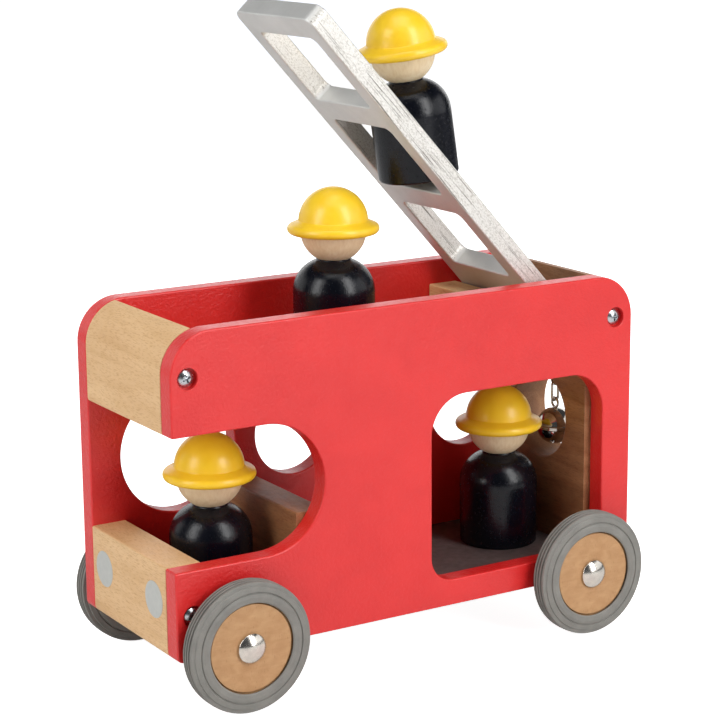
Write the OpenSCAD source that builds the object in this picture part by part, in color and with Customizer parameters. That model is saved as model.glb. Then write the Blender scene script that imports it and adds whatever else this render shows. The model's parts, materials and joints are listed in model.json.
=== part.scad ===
// Toy fire engine: two painted side panels screwed to cross boards, four rubber-tyred
// wheels on steel axles, a raised ladder, a small bell and four peg firemen.
// Millimetres. +Z up, the front faces -Y, the vehicle's left side faces +X.
// The origin is on the ground, under the middle of the body.

/* [Body] */
// Length of the side panels
body_l = 230; // [220:1:260]
// Width over the two side panels
body_w = 87; // [85:0.5:100]
// Thickness of a side panel
panel_t = 9; // [8:0.5:10]
// Underside of the side panels above the ground
panel_bottom = 23; // [20:0.5:24]
// Top of the side panels above the ground
panel_top = 159.5; // [158:0.5:170]
// Radius of the panels' upper corners
top_corner_r = 18.6; // [14:0.2:20]
// Radius of the panels' lower corners
low_corner_r = 3; // [1:0.5:5]

/* [Boards] */
// Thickness of the front top block
top_block_t = 14; // [12:0.5:15]
// Underside of the front top block and of the upper deck
deck_bottom = 116.5; // [115:0.5:118]
// Thickness of the upper deck
deck_t = 14; // [12:0.5:15]
// Thickness of the front lower block
low_block_t = 16; // [14:0.5:17]
// Top of the front lower block
low_block_top = 61.5; // [58:0.5:64]
// Thickness of the rear board
rear_board_t = 18.6; // [16:0.2:20]
// Top of the floor board
floor_top = 32.5; // [32:0.5:34]
// Thickness of the floor board
floor_t = 9; // [8:0.5:9]
// Top of the board behind the driver
back_board_top = 74.5; // [70:0.5:80]
// Thickness of the board behind the driver
back_board_t = 14; // [12:0.5:15]

/* [Windows] */
// Height of the centre line of the cab opening and the round windows
window_z = 89.2; // [88:0.2:90]
// Radius of the rounded end of the cab opening
cab_r = 27.8; // [26:0.2:28]
// Distance from the middle of the body to the centre of the cab openings
cab_y = 72.5; // [70:0.5:76]
// Radius of the small round windows
round_r = 20; // [16:0.5:21]
// Front edge of the large rear window
window_front = 8.4; // [6:0.2:12]
// Rear edge of the large rear window
window_rear = 99.6; // [96:0.2:101]
// Lower edge of the large rear window
window_low = 34.7; // [34:0.1:36]
// Upper edge of the large rear window
window_high = 117; // [110:0.5:118]

/* [Wheels] */
// Outer radius of the tyres, which is also the height of the axles
tyre_r = 28; // [27:0.5:28]
// Distance of each axle from the middle of the body
axle_y = 87; // [86:0.5:87]
// Width of a tyre
tyre_w = 9.7; // [8:0.1:11]
// Gap between a side panel and a tyre
tyre_gap = 2.7; // [2:0.1:4]
// Radius of a wooden wheel disc
disc_r = 20; // [18:0.5:21]
// Diameter of the steel axles
axle_d = 4; // [3.5:0.1:4.4]
// Diameter of the domed axle caps
cap_d = 12.8; // [11:0.2:15]

/* [Ladder] */
// Angle of the ladder above level when it leans on its stop block
ladder_angle = 47.7; // [47:0.1:48]
// Length of the ladder above its pivot pin
ladder_l = 189; // [180:1:195]
// Width of the ladder
ladder_w = 62.7; // [58:0.1:64]
// Thickness of the ladder
ladder_t = 9; // [8:0.5:9]
// Width of the ladder's two side rails
rail_w = 9; // [8:0.5:10]
// Lower edge of the first opening, from the pivot pin
first_opening = 30.6; // [28:0.2:34]
// Length of each opening
opening_l = 40.6; // [38:0.2:41]
// Width of each rung between the openings
rung_w = 12.4; // [11:0.2:14]

/* [Firemen] */
// Radius of a fireman's body
peg_r = 17.7; // [16:0.1:18]
// Height of a fireman's body
peg_h = 42.8; // [42:0.2:44]
// Radius of a fireman's head
head_r = 14.3; // [14:0.1:14.5]
// Radius of a helmet's dome
helmet_r = 15; // [14.8:0.1:16]
// Radius of a helmet's brim
brim_r = 19.8; // [18:0.1:20]
// Lean of the fireman on the ladder towards the front
rider_lean = 9; // [8:0.5:10]

/* [Bell] */
// Radius of the bell
bell_r = 8.6; // [8:0.1:9]
// Thickness of the bell's sheet metal
bell_wall = 0.6; // [0.5:0.1:0.8]

/* [Hidden] */
$fn = 64;

red = [0.86, 0.2, 0.19];
beech = [0.86, 0.7, 0.5];
shade_wood = [0.55, 0.36, 0.24];
floor_grey = [0.55, 0.54, 0.52];
rubber_grey = [0.56, 0.55, 0.53];
nickel = [0.82, 0.82, 0.84];
steel = [0.66, 0.67, 0.69];
silver_paint = [0.7, 0.69, 0.66];
blue_black = [0.1, 0.12, 0.17];
head_wood = [0.9, 0.8, 0.62];
yellow = [0.99, 0.83, 0.2];
plastic_grey = [0.75, 0.75, 0.74];

half_l = body_l / 2;
half_w = body_w / 2;
inner_w = body_w - 2 * panel_t;
half_in = inner_w / 2;
bore_gap = 0.08;                                // running clearance on a radius
rest_gap = 0.3;                                 // air between parts that only lean or stand

deck_top = deck_bottom + deck_t;
floor_bottom = floor_top - floor_t;
rear_board_front = half_l - rear_board_t;
top_block_back = -half_l + top_block_t;
low_block_back = -half_l + low_block_t;
back_board_front = -53.7;                       // front face of the board behind the driver

window_top_r = 17.5;                            // upper corners of the large window
window_low_r = 11;                              // lower corners of the large window
round_window_y = [-14.2, 79];                   // centres of the small round windows

// Panel screws: pan heads in counterbores near the four corners of each panel
screw_head_r = 3.5;
screw_head_h = 2;
counterbore_r = 4.5;
counterbore_depth = 2.6;
shank_r = 1.75;
shank_l = 24;
screw_spots = [[-107.2, 140.6], [-107.2, 42], [106, 140.6], [106, 42]];
recess_w = 0.9;                                 // width of a cross recess's arms

// Wooden dowels that locate the glued boards: [y, z] on each panel
dowel_r = 2.5;
dowel_in_panel = 5;
dowel_in_board = 12;
board_dowel_spots = [
    for (y = [-75, 0, 45]) [y, deck_bottom + deck_t / 2],
    for (y = [-60, 10, 60]) [y, floor_bottom + floor_t / 2],
    for (z = [46, 66]) [back_board_front + back_board_t / 2, z]
];

// Ladder: point at distance s up the ladder and height n off its underside
ladder_foot = [84, 137.5];                      // underside, level with the pivot pin: [y, z]
along = [-cos(ladder_angle), sin(ladder_angle)];
normal = [sin(ladder_angle), cos(ladder_angle)];
function on_ladder(s, n) = ladder_foot + s * along + n * normal;
pivot = on_ladder(0, ladder_t / 2);
pin_r = 2.5;
pin_depth = 5;                                  // depth of the pin's blind holes
ladder_top_r = 5;                               // outer corners at the ladder's top
opening_r = 3;                                  // corners of the ladder's openings
opening_count = 3;

// Stop block: its upper rear edge carries the ladder's underside
stop_top = 148.4;
stop_front = 58.6;
stop_back = ladder_foot[0] - (stop_top - ladder_foot[1]) / tan(ladder_angle) - rest_gap / sin(ladder_angle);

// Wheels, measured outwards from a side panel's outer face
axle_r = axle_d / 2;
tyre_in = half_w + tyre_gap;
disc_recess = 1.3;
disc_in = tyre_in + disc_recess;
disc_t = tyre_w - 2 * disc_recess;
cap_gap = 0.2;
cap_h = 3.2;
cap_socket = 2;                                 // depth of the cap's hole for the axle
axle_end = disc_in + disc_t + cap_gap + cap_socket;
spacer_r = 6;
groove_gap = 0.4;                               // air round an axle under the floor

// Head and helmet, measured from a fireman's base
head_z = 55;
dome_z = 58.5;
brim_low = 53.4;
brim_edge_r = 2.2;
brim_slope = 23.7;                              // fall of the brim's top, in degrees
helmet_gap = 0.05;                              // air round the head below its widest ring
shoulder_r = 14.5;
neck_pin_r = 3;
neck_pin_low = 30;
neck_pin_l = 20;

cab_spot = [3, -77.4, floor_top];
deck_spot = [0, -13.4, deck_top];
rear_spot = [1.1, 72.9, floor_top];
rider_spot = [0, 30.45, 205.1];

// Bell: hangs in the round hole of the rear board
bell_y = rear_board_front + rear_board_t / 2;
bell_z = 81.9;
bell_hole_z = window_z;
eye_r = 2.7;
eye_wire = 0.7;
eye_z = 104.3;
link_wire = 0.6;
link_r = 1.7;
touch = 0.05;                                   // air between the chain's wires
link_top = eye_z - eye_r + eye_wire + link_wire + touch;
loop_r = 2.2;
loop_z = bell_z + bell_r + loop_r + 0.2;
link_bottom = loop_z + loop_r - 2 * link_wire - touch;
pellet_r = 2.2;

// ---------- shared shapes ----------

// Outline of a side panel in (y, z)
module panel_outline() {
    union() {
        translate([-half_l, panel_bottom + low_corner_r])
            square([body_l, panel_top - panel_bottom - low_corner_r - top_corner_r]);
        translate([-half_l + low_corner_r, panel_bottom])
            square([body_l - 2 * low_corner_r, low_corner_r + 1]);
        translate([-half_l + top_corner_r, panel_top - top_corner_r - 1])
            square([body_l - 2 * top_corner_r, top_corner_r + 1]);
        for (side = [-1, 1]) {
            translate([side * (half_l - top_corner_r), panel_top - top_corner_r])
                circle(r = top_corner_r);
            translate([side * (half_l - low_corner_r), panel_bottom + low_corner_r])
                circle(r = low_corner_r);
        }
    }
}

// Large rear window in (y, z)
module window_outline() {
    width = window_rear - window_front;
    translate([window_front, window_low + window_low_r])
        square([width, window_high - window_low - window_low_r - window_top_r]);
    translate([window_front + window_low_r, window_low])
        square([width - 2 * window_low_r, window_low_r + 1]);
    translate([window_front + window_top_r, window_high - window_top_r - 1])
        square([width - 2 * window_top_r, window_top_r + 1]);
    for (y = [window_front + window_low_r, window_rear - window_low_r])
        translate([y, window_low + window_low_r]) circle(r = window_low_r);
    for (y = [window_front + window_top_r, window_rear - window_top_r])
        translate([y, window_high - window_top_r]) circle(r = window_top_r);
}

// Extrudes a (y, z) outline along X from x0 over a width
module along_x(x0, width) {
    translate([x0, 0, 0]) rotate([90, 0, 90]) linear_extrude(width) children();
}

// Cylinder along X from x0 over a length, at [y, z]
module rod_x(x0, length, spot, r) {
    translate([x0, spot[0], spot[1]]) rotate([0, 90, 0]) cylinder(r = r, h = length);
}

// Board between the panels that keeps to their outline, from y0 to y1 and z0 to z1
module cross_board(y0, y1, z0, z1) {
    along_x(-half_in, inner_w) intersection() {
        panel_outline();
        translate([y0, z0]) square([y1 - y0, z1 - z0]);
    }
}

// Blind dowel holes in the ends of a board
module dowel_holes() {
    for (spot = board_dowel_spots) {
        rod_x(half_in - dowel_in_board, dowel_in_board + 1, spot, dowel_r);
        rod_x(-half_in - 1, dowel_in_board + 1, spot, dowel_r);
    }
}

// Screw holes in the ends of a block
module screw_holes() {
    for (spot = screw_spots, side = [-1, 1])
        rod_x(side > 0 ? half_in - shank_l : -half_in - 1, shank_l + 1, spot, shank_r);
}

// Holes that both panels have, cut from the outer face inwards; side is +1 or -1
module panel_holes(side) {
    for (spot = screw_spots) {
        rod_x(side * half_w - panel_t - 1, 2 * panel_t + 2, spot, shank_r);
        rod_x(side * half_w - counterbore_depth, 2 * counterbore_depth, spot, counterbore_r);
    }
    for (spot = board_dowel_spots)
        rod_x(side * half_in - dowel_in_panel, 2 * dowel_in_panel, spot, dowel_r);
    rod_x(side * half_in - pin_depth, 2 * pin_depth, pivot, pin_r);
    for (y = [-axle_y, axle_y])
        rod_x(side * half_w - panel_t - 1, 2 * panel_t + 2, [y, tyre_r], axle_r);
}

// ---------- body ----------

module left_side_panel() {
    color(red) difference() {
        along_x(half_in, panel_t) difference() {
            panel_outline();
            translate([-half_l - 1, window_z - cab_r]) square([half_l - cab_y + 1, 2 * cab_r]);
            translate([-cab_y, window_z]) circle(r = cab_r);
            window_outline();
        }
        panel_holes(1);
    }
}

module right_side_panel() {
    color(red) difference() {
        along_x(-half_w, panel_t) difference() {
            panel_outline();
            translate([-cab_y, window_z]) circle(r = cab_r);
            for (y = round_window_y) translate([y, window_z]) circle(r = round_r);
        }
        panel_holes(-1);
    }
}

module front_top_block() {
    color(beech) difference() {
        cross_board(-half_l, top_block_back, deck_bottom, panel_top);
        screw_holes();
    }
}

module front_lower_block() {
    color(beech) difference() {
        cross_board(-half_l, low_block_back, panel_bottom, low_block_top);
        screw_holes();
    }
}

module upper_deck() {
    color(beech) difference() {
        cross_board(top_block_back, rear_board_front, deck_bottom, deck_top);
        dowel_holes();
        stop_dowels(0);
    }
}

// The floor has a groove across its underside for each axle
module floor_board() {
    color(floor_grey) difference() {
        cross_board(low_block_back, rear_board_front, floor_bottom, floor_top);
        dowel_holes();
        for (y = [-axle_y, axle_y]) {
            rod_x(-half_in - 1, inner_w + 2, [y, tyre_r], axle_r + groove_gap);
            translate([-half_in - 1, y - axle_r - groove_gap, floor_bottom - 1])
                cube([inner_w + 2, 2 * (axle_r + groove_gap), tyre_r - floor_bottom + 1]);
        }
    }
}

module cab_back_board() {
    color(shade_wood) difference() {
        cross_board(back_board_front, back_board_front + back_board_t, floor_top, back_board_top);
        dowel_holes();
    }
}

module ladder_stop_block() {
    color(beech) difference() {
        cross_board(stop_front, stop_back, deck_top, stop_top);
        stop_dowels(0);
    }
}

module rear_board() {
    color(shade_wood) difference() {
        cross_board(rear_board_front, half_l, panel_bottom, panel_top);
        screw_holes();
        translate([0, rear_board_front - 1, bell_hole_z])
            rotate([-90, 0, 0]) cylinder(r = round_r, h = rear_board_t + 2);
        translate([0, bell_y, eye_z]) cylinder(r = eye_wire, h = 20);
    }
}

// ---------- fastenings ----------

// One pan-head screw with a cross recess, its head outwards at the counterbore's floor
module pan_screw(side) {
    rotate([0, side * 90, 0]) difference() {
        union() {
            translate([0, 0, -shank_l]) cylinder(r = shank_r, h = shank_l);
            intersection() {
                cylinder(r = screw_head_r, h = screw_head_h);
                translate([0, 0, -3.2]) sphere(r = 5.2);
            }
        }
        for (turn = [0, 90])
            rotate([0, 0, 20 + turn])
                translate([-2, -recess_w / 2, screw_head_h - 1.3]) cube([4, recess_w, 3]);
    }
}

module panel_screws() {
    color(steel)
        for (spot = screw_spots, side = [-1, 1])
            translate([side * (half_w - counterbore_depth), spot[0], spot[1]]) pan_screw(side);
}

module board_dowels() {
    color(head_wood)
        for (spot = board_dowel_spots) {
            rod_x(half_in - dowel_in_board, dowel_in_board + dowel_in_panel, spot, dowel_r);
            rod_x(-half_in - dowel_in_panel, dowel_in_board + dowel_in_panel, spot, dowel_r);
        }
}

// Two upright dowels under the stop block, shorter than their holes by a gap
module stop_dowels(gap) {
    for (x = [-20, 20])
        translate([x, (stop_front + stop_back) / 2, deck_top - 9 + gap])
            cylinder(r = dowel_r, h = 20 - 2 * gap);
}

module stop_block_dowels() {
    color(head_wood) stop_dowels(0.5);
}

// ---------- wheels ----------

module axle(y) {
    color(steel) rod_x(-axle_end, 2 * axle_end, [y, tyre_r], axle_r);
}

// Domed cap with a short flat rim; its hole takes the axle's end
module axle_cap() {
    dome_rim = 0.8;
    sphere_r = (pow(cap_d / 2, 2) + pow(cap_h - dome_rim, 2)) / (2 * (cap_h - dome_rim));
    difference() {
        intersection() {
            cylinder(r = cap_d / 2, h = cap_h);
            translate([0, 0, cap_h - sphere_r]) sphere(r = sphere_r);
        }
        translate([0, 0, -1]) cylinder(r = axle_r, h = cap_socket + 1);
    }
}

module axle_caps() {
    color(nickel)
        for (y = [-axle_y, axle_y], side = [-1, 1])
            translate([side * (axle_end - cap_socket), y, tyre_r]) rotate([0, side * 90, 0]) axle_cap();
}

module wheel_spacers() {
    color(plastic_grey)
        for (y = [-axle_y, axle_y], x = [half_w, -disc_in + 0.1])
            difference() {
                rod_x(x, disc_in - half_w - 0.1, [y, tyre_r], spacer_r);
                rod_x(x - 1, disc_in, [y, tyre_r], axle_r);
            }
}

// Places a wheel's profile, drawn with Z outwards from the panel side
module at_wheel(y, side) {
    translate([side * tyre_in, y, tyre_r]) rotate([0, side * 90, 0]) children();
}

module wheel_disc(y, side) {
    color(beech) at_wheel(y, side) translate([0, 0, disc_recess]) difference() {
        cylinder(r = disc_r, h = disc_t);
        translate([0, 0, -1]) cylinder(r = axle_r + bore_gap, h = disc_t + 2);
    }
}

// Tyre section in (radius, width): a crowned tread with three grooves and a lip on each side
module tyre_section() {
    lip_r = 19.2;
    shoulder = 1.7;
    difference() {
        union() {
            translate([disc_r, shoulder]) square([tyre_r - disc_r, tyre_w - 2 * shoulder]);
            translate([disc_r, 0.6]) square([tyre_r - disc_r - 1.2, tyre_w - 1.2]);
            translate([disc_r, 0]) square([tyre_r - disc_r - 3.6, tyre_w]);
            translate([lip_r, 0]) square([1, disc_recess]);
            translate([lip_r, tyre_w - disc_recess]) square([1, disc_recess]);
        }
        for (groove = [-1, 0, 1])
            translate([tyre_r, tyre_w / 2 + groove * 1.9]) circle(r = 0.45, $fn = 16);
    }
}

module tyre(y, side) {
    color(rubber_grey) at_wheel(y, side) rotate_extrude($fn = 96) tyre_section();
}

// ---------- ladder ----------

// Rectangle with rounded corners from [x0, y0] over a size
module rounded_rect(x0, y0, size, r) {
    translate([x0 + r, y0]) square([size[0] - 2 * r, size[1]]);
    translate([x0, y0 + r]) square([size[0], size[1] - 2 * r]);
    for (x = [x0 + r, x0 + size[0] - r], y = [y0 + r, y0 + size[1] - r])
        translate([x, y]) circle(r = r);
}

// Ladder's plan: x across, y up the ladder from the pivot pin
module ladder_plan() {
    difference() {
        union() {
            translate([-ladder_w / 2, 0]) square([ladder_w, ladder_l - ladder_top_r]);
            translate([-ladder_w / 2 + ladder_top_r, 0]) square([ladder_w - 2 * ladder_top_r, ladder_l]);
            for (side = [-1, 1])
                translate([side * (ladder_w / 2 - ladder_top_r), ladder_l - ladder_top_r])
                    circle(r = ladder_top_r);
        }
        for (i = [0 : opening_count - 1])
            rounded_rect(-ladder_w / 2 + rail_w, first_opening + i * (opening_l + rung_w),
                [ladder_w - 2 * rail_w, opening_l], opening_r);
    }
}

// Turns the ladder's plan into place, its underside on the plane through the foot
module at_ladder() {
    translate([0, ladder_foot[0], ladder_foot[1]])
        rotate([180 - ladder_angle, 0, 0]) translate([0, 0, -ladder_t]) children();
}

module ladder() {
    color(silver_paint) at_ladder() difference() {
        union() {
            linear_extrude(ladder_t) ladder_plan();
            rod_x(-ladder_w / 2, ladder_w, [0, ladder_t / 2], ladder_t / 2);
        }
        rod_x(-ladder_w, 2 * ladder_w, [0, ladder_t / 2], pin_r + bore_gap);
    }
}

module ladder_pivot_pin() {
    color(steel) rod_x(-half_in - pin_depth, inner_w + 2 * pin_depth, pivot, pin_r);
}

// ---------- bell ----------

// Ring of round wire about the Y axis
module wire_ring(r, wire) {
    rotate([90, 0, 0]) rotate_extrude() translate([r, 0]) circle(r = wire, $fn = 24);
}

module bell_screw_eye() {
    color(nickel) union() {
        translate([0, bell_y, eye_z]) wire_ring(eye_r, eye_wire);
        translate([0, bell_y, eye_z + eye_r]) cylinder(r = eye_wire, h = 20 - eye_r);
    }
}

// Long link in the YZ plane: two half rings and two straight sides
module bell_link() {
    upper = link_top - link_r;
    lower = link_bottom + link_r;
    color(nickel) translate([0, bell_y, 0]) union() {
        for (end = [[upper, 0], [lower, 180]])
            translate([0, 0, end[0]]) rotate([90, 0, 90]) rotate([0, 0, end[1]])
                rotate_extrude(angle = 180) translate([link_r, 0]) circle(r = link_wire, $fn = 24);
        for (side = [-1, 1])
            translate([0, side * link_r, lower]) cylinder(r = link_wire, h = upper - lower, $fn = 24);
    }
}

// Quarter section of the bell's wall, with a narrow rolled rim at the middle
module bell_section() {
    rim = 0.5;
    union() {
        intersection() {
            difference() {
                circle(r = bell_r);
                circle(r = bell_r - bell_wall);
            }
            square(bell_r + 1);
        }
        translate([bell_r - bell_wall, 0]) square([bell_wall + rim, 0.7]);
    }
}

module bell_upper_half() {
    color(nickel) translate([0, bell_y, 0]) union() {
        translate([0, 0, bell_z]) rotate_extrude() bell_section();
        translate([0, 0, loop_z]) wire_ring(loop_r, link_wire);
    }
}

// Lower half: a cross slot with a round hole at the end of each arm
module bell_lower_half() {
    slot_reach = 5.6;
    slot_w = 1;
    color(nickel) translate([0, bell_y, bell_z]) difference() {
        mirror([0, 0, 1]) rotate_extrude() bell_section();
        for (turn = [0, 90])
            rotate([0, 0, 45 + turn]) {
                translate([-slot_reach, -slot_w / 2, -bell_r - 1]) cube([2 * slot_reach, slot_w, bell_r]);
                for (end = [-1, 1])
                    translate([end * slot_reach, 0, -bell_r - 1]) cylinder(r = 1.2, h = bell_r);
            }
    }
}

module bell_pellet() {
    pellet_drop = bell_r - bell_wall - pellet_r - 0.2;
    color(steel) translate([0, bell_y, bell_z - pellet_drop]) sphere(r = pellet_r);
}

// ---------- firemen ----------

// Stands a fireman at a spot, leaning forward by an angle
module stand(spot, lean) {
    translate(spot) rotate([lean, 0, 0]) children();
}

// Turned body: bevelled foot, straight side and round shoulders
module peg_body(spot, lean = 0) {
    bevel = 0.8;
    flat_r = peg_r - shoulder_r;
    color(blue_black) stand(spot, lean) difference() {
        rotate_extrude() union() {
            polygon([[0, 0], [peg_r - bevel, 0], [peg_r, bevel], [peg_r, peg_h - shoulder_r],
                [0, peg_h - shoulder_r]]);
            translate([0, peg_h - shoulder_r - 1]) square([flat_r, shoulder_r + 1]);
            intersection() {
                translate([flat_r, peg_h - shoulder_r]) circle(r = shoulder_r);
                translate([0, peg_h - shoulder_r - 1]) square([peg_r, shoulder_r + 1]);
            }
        }
        translate([0, 0, head_z]) sphere(r = head_r);
        translate([0, 0, neck_pin_low]) cylinder(r = neck_pin_r, h = neck_pin_l);
    }
}

module peg_neck_pin(spot, lean = 0) {
    color(head_wood) stand(spot, lean)
        translate([0, 0, neck_pin_low]) cylinder(r = neck_pin_r, h = neck_pin_l);
}

module peg_head(spot, lean = 0) {
    color(head_wood) stand(spot, lean) difference() {
        translate([0, 0, head_z]) sphere(r = head_r);
        translate([0, 0, neck_pin_low]) cylinder(r = neck_pin_r, h = neck_pin_l);
    }
}

// Turned helmet: a round dome on a brim that slopes down to a thick rounded edge
module peg_helmet(spot, lean = 0) {
    edge = [brim_r - brim_edge_r, brim_low + brim_edge_r];
    shoulder = edge + brim_edge_r * [sin(brim_slope), cos(brim_slope)];
    color(yellow) stand(spot, lean) difference() {
        rotate_extrude() union() {
            intersection() {
                translate([0, dome_z]) circle(r = helmet_r);
                translate([0, brim_low]) square([helmet_r, 2 * helmet_r]);
            }
            polygon([[0, brim_low], [edge[0], brim_low], edge, shoulder,
                [0, shoulder[1] + shoulder[0] * tan(brim_slope)]]);
            translate(edge) circle(r = brim_edge_r);
        }
        translate([0, 0, head_z]) sphere(r = head_r);
        translate([0, 0, brim_low - 1]) cylinder(r = head_r + helmet_gap, h = head_z - brim_low + 1);
    }
}

left_side_panel();
right_side_panel();
front_top_block();
front_lower_block();
floor_board();
upper_deck();
cab_back_board();
ladder_stop_block();
rear_board();
panel_screws();
board_dowels();
stop_block_dowels();
axle(-axle_y);  // front_axle
axle(axle_y);  // rear_axle
axle_caps();
wheel_spacers();
wheel_disc(-axle_y, 1);  // front_left_disc
tyre(-axle_y, 1);  // front_left_tyre
wheel_disc(-axle_y, -1);  // front_right_disc
tyre(-axle_y, -1);  // front_right_tyre
wheel_disc(axle_y, 1);  // rear_left_disc
tyre(axle_y, 1);  // rear_left_tyre
wheel_disc(axle_y, -1);  // rear_right_disc
tyre(axle_y, -1);  // rear_right_tyre
ladder();
ladder_pivot_pin();
bell_screw_eye();
bell_link();
bell_upper_half();
bell_lower_half();
bell_pellet();
peg_body(cab_spot);  // cab_fireman_body
peg_neck_pin(cab_spot);  // cab_fireman_neck_pin
peg_head(cab_spot);  // cab_fireman_head
peg_helmet(cab_spot);  // cab_fireman_helmet
peg_body(deck_spot);  // deck_fireman_body
peg_neck_pin(deck_spot);  // deck_fireman_neck_pin
peg_head(deck_spot);  // deck_fireman_head
peg_helmet(deck_spot);  // deck_fireman_helmet
peg_body(rear_spot);  // rear_fireman_body
peg_neck_pin(rear_spot);  // rear_fireman_neck_pin
peg_head(rear_spot);  // rear_fireman_head
peg_helmet(rear_spot);  // rear_fireman_helmet
peg_body(rider_spot, rider_lean);  // ladder_fireman_body
peg_neck_pin(rider_spot, rider_lean);  // ladder_fireman_neck_pin
peg_head(rider_spot, rider_lean);  // ladder_fireman_head
peg_helmet(rider_spot, rider_lean);  // ladder_fireman_helmet
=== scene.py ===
"""Looks of a wooden toy fire engine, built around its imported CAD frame.

Lengths are millimetres until a mesh is made, when they become metres. Each piece is drawn in
axes of its own and then placed, so that grain and turning marks belong to the piece.
"""

import json
import math

import bmesh
import bpy
from mathutils import Matrix, Vector


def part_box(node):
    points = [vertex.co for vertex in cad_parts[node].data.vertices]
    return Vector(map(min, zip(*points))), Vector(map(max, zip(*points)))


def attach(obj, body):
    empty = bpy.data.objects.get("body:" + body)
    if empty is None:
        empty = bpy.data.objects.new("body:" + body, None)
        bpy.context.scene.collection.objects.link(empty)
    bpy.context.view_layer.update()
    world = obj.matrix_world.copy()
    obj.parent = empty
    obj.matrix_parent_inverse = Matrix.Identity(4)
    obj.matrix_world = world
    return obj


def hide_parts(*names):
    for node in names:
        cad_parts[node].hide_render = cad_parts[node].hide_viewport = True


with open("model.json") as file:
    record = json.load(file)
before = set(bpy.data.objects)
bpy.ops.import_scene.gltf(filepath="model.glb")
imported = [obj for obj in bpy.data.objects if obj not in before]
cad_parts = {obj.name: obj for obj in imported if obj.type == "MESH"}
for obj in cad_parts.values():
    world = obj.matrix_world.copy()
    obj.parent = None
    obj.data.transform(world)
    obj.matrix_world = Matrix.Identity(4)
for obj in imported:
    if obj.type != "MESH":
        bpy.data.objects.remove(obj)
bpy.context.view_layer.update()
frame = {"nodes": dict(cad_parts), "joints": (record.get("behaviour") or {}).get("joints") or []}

MM = 0.001
ARC_STEP = math.radians(6)       # turn between two points of a round stretch
EASE_STEPS = 4                   # faces across an eased edge
SAME_PLACE = 1e-3                # points of an outline closer than this are one point


# ---------- measures taken from the frame ----------

def span(node):
    """Lowest and highest corner of a CAD node, in millimetres."""
    low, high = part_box(node)
    return low / MM, high / MM


def middle(node):
    """Centre of a CAD node's box, in millimetres."""
    low, high = span(node)
    return (low + high) / 2


def joint_place(name):
    """Point that a joint turns about, in millimetres."""
    joint = next(j for j in frame["joints"] if j["name"] == name)
    return Vector(joint["pos_m"]) / MM


PANEL_LOW, PANEL_HIGH = span("left_side_panel")
INNER = PANEL_LOW.x              # inner face of a side panel, from the middle
OUTER = PANEL_HIGH.x             # outer face
FRONT = PANEL_LOW.y
REAR = PANEL_HIGH.y
BOTTOM = PANEL_LOW.z
TOP = PANEL_HIGH.z
DECK_LOW = span("upper_deck")[0].z
DECK_TOP = span("upper_deck")[1].z
FLOOR_LOW = span("floor_board")[0].z
FLOOR_TOP = span("floor_board")[1].z

TOP_CORNER = 18.6                # radius of the panels' upper corners
LOW_CORNER = 3.0
CAB_R = 27.8                     # round end of the cab opening, and the right cab window
CAB_Y = -72.5
WINDOW_Z = 89.2                  # height of all the round windows
ROUND_R = 20.0                   # small round windows and the bell's hole
ROUND_Y = (-14.2, 79.0)
REAR_WINDOW = (8.4, 99.6, 34.7, 117.0)       # front, rear, low and high edge
REAR_WINDOW_LOW_R = 11.0
REAR_WINDOW_TOP_R = 17.5

SCREW_SPOTS = ((-107.2, 140.6), (-107.2, 42.0), (106.0, 140.6), (106.0, 42.0))
SINK_R = 4.5                     # counterbore round a screw head
SINK_DEPTH = 2.6
SHANK_R = 1.75
SHANK_L = 24.0
HEAD_R = 3.5
HEAD_H = 2.0
BOARD_EASE = 0.15                # eased edge at the ends of a cross board
DOWEL_R = 2.5
DOWEL_IN_PANEL = 5.0
DOWEL_IN_BOARD = 12.0
BACK_LOW, BACK_HIGH = span("cab_back_board")
BACK_Y = (BACK_LOW.y + BACK_HIGH.y) / 2
DECK_DOWELS = [(y, (DECK_LOW + DECK_TOP) / 2) for y in (-75, 0, 45)]
FLOOR_DOWELS = [(y, (FLOOR_LOW + FLOOR_TOP) / 2) for y in (-60, 10, 60)]
BACK_DOWELS = [(BACK_Y, z) for z in (46, 66)]
AXLE_SPOTS = [(middle(node).y, middle(node).z) for node in ("front_axle", "rear_axle")]
AXLE_R = (span("front_axle")[1].z - span("front_axle")[0].z) / 2
PIN_R = 2.5

LADDER_ANGLE = math.radians(47.7)
LADDER_T = 9.0
LADDER_L = 189.0                 # above the pivot pin
LADDER_HALF_W = span("ladder")[1].x
RAIL_W = 9.0
OPENING_START = 30.6
OPENING_L = 40.6
RUNG_W = 12.4
LADDER_TOP_R = 5.0

BELL_CENTRE = joint_place("bell_pellet_roll")
BELL_R = 8.6
BELL_WALL = 0.6

PEG_R = 17.7
PEG_H = 42.8
SHOULDER_R = 14.5
HEAD_BALL_R = 14.3
HEAD_BALL_Z = 55.0               # above a fireman's base
DOME_R = 15.0
DOME_Z = 58.5
BRIM_R = 19.8
BRIM_LOW = 53.4
BRIM_EDGE_R = 2.2
BRIM_SLOPE = 23.7                # fall of the brim's top, in degrees
PIN_MIDDLE = 40.0                # middle of a neck pin above the base
NECK_PIN_R = 3.0
NECK_PIN_L = 20.0
RIDER_LEAN = math.radians(9)


# ---------- outlines ----------

def arc(centre, radius, start, end):
    """Points on a circle from one angle to another, in degrees, both ends included."""
    start, end = math.radians(start), math.radians(end)
    steps = max(2, math.ceil(abs(end - start) / ARC_STEP))
    turns = [start + (end - start) * k / steps for k in range(steps + 1)]
    return [Vector((centre[0] + radius * math.cos(a), centre[1] + radius * math.sin(a)))
            for a in turns]


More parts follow.
